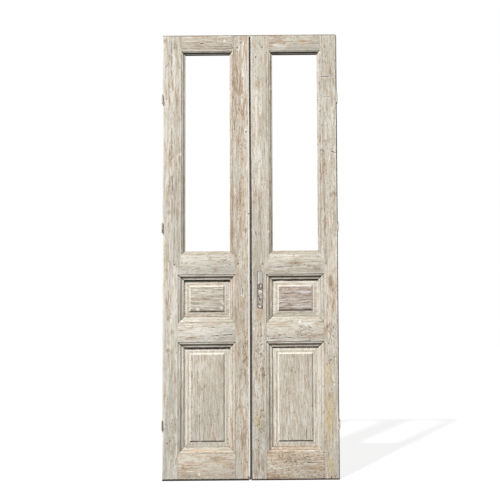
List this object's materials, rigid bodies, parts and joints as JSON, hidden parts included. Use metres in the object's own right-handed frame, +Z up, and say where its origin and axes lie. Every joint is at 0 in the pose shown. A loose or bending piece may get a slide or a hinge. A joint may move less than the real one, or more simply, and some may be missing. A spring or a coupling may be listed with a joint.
{
  "type": "pair of french doors",
  "caption": "Pair of old panelled double doors: tall open glazed area above a small and a tall fielded panel in each leaf, butt hinges, mortise lock with escutcheon.",
  "frame": {"origin": "bottom centre of the pair: half way across, half way between the hinge knuckles in front and the back faces, at the foot of the leaves", "axes": "+Z up, -Y towards the viewer and the way the leaves open, +X to the viewer's right"},
  "size_m": [0.955, 0.0544, 2.4],
  "materials": {
    "stripped_pine": "matt, limewashed",
    "panel_board": "matt, limewashed",
    "peg_wood": "matt",
    "old_iron": "rusted, matt",
    "worn_brass": "dull, patinated"
  },
  "bodies": {
    "jamb_hinges": {"left_jamb_plate_low": "old_iron", "left_hinge_pin_low": "old_iron", "left_jamb_plate_mid": "old_iron", "left_hinge_pin_mid": "old_iron", "left_jamb_plate_top": "old_iron", "left_hinge_pin_top": "old_iron", "right_jamb_plate_low": "old_iron", "right_hinge_pin_low": "old_iron", "right_jamb_plate_mid": "old_iron", "right_hinge_pin_mid": "old_iron", "right_jamb_plate_top": "old_iron", "right_hinge_pin_top": "old_iron"},
    "left_leaf": {"left_hinge_stile": "stripped_pine", "left_meeting_stile": "stripped_pine", "left_top_rail": "stripped_pine", "left_lock_rail": "stripped_pine", "left_frieze_rail": "stripped_pine", "left_bottom_rail": "stripped_pine", "left_small_panel": "panel_board", "left_tall_panel": "panel_board", "left_tenon_wedges": "peg_wood", "left_pegs": "peg_wood", "left_leaf_plate_low": "old_iron", "left_leaf_plate_mid": "old_iron", "left_leaf_plate_top": "old_iron", "left_hinge_screws": "old_iron", "left_strike_plate": "old_iron", "left_strike_screws": "old_iron"},
    "right_leaf": {"right_hinge_stile": "stripped_pine", "right_meeting_stile": "stripped_pine", "right_top_rail": "stripped_pine", "right_lock_rail": "stripped_pine", "right_frieze_rail": "stripped_pine", "right_bottom_rail": "stripped_pine", "right_small_panel": "panel_board", "right_tall_panel": "panel_board", "right_tenon_wedges": "peg_wood", "right_pegs": "peg_wood", "right_leaf_plate_low": "old_iron", "right_leaf_plate_mid": "old_iron", "right_leaf_plate_top": "old_iron", "right_hinge_screws": "old_iron", "right_forend": "old_iron", "right_forend_screws": "old_iron", "right_escutcheon_screws": "old_iron", "right_lock_case": "old_iron", "right_lock_cap": "old_iron", "right_escutcheon": "worn_brass"},
    "latch": {"latch_bolt": "worn_brass"},
    "bolt": {"dead_bolt": "old_iron"},
    "spindle_follower": {"follower": "old_iron"}
  },
  "joints": [
    {"name": "left_swing", "type": "hinge", "parent": "jamb_hinges", "child": "left_leaf", "pos_m": [-0.473, -0.02275, 1.2], "axis": [0, 0, -1], "range_deg": [0, 110]},
    {"name": "right_swing", "type": "hinge", "parent": "jamb_hinges", "child": "right_leaf", "pos_m": [0.473, -0.02275, 1.2], "axis": [0, 0, 1], "range_deg": [0, 110]},
    {"name": "latch_slide", "type": "slide", "parent": "right_leaf", "child": "latch", "axis": [-1, 0, 0], "range_m": [-0.0025, 0.008]},
    {"name": "bolt_slide", "type": "slide", "parent": "right_leaf", "child": "bolt", "axis": [-1, 0, 0], "range_m": [0, 0.02]},
    {"name": "follower_turn", "type": "hinge", "parent": "right_leaf", "child": "spindle_follower", "pos_m": [0.0525, 0.00475, 1.03], "axis": [0, -1, 0], "range_deg": [-8.5, 26]}
  ],
  "couplings": [
    {"joint": "follower_turn", "follows": "latch_slide", "rad_per_m": 55.556}
  ]
}
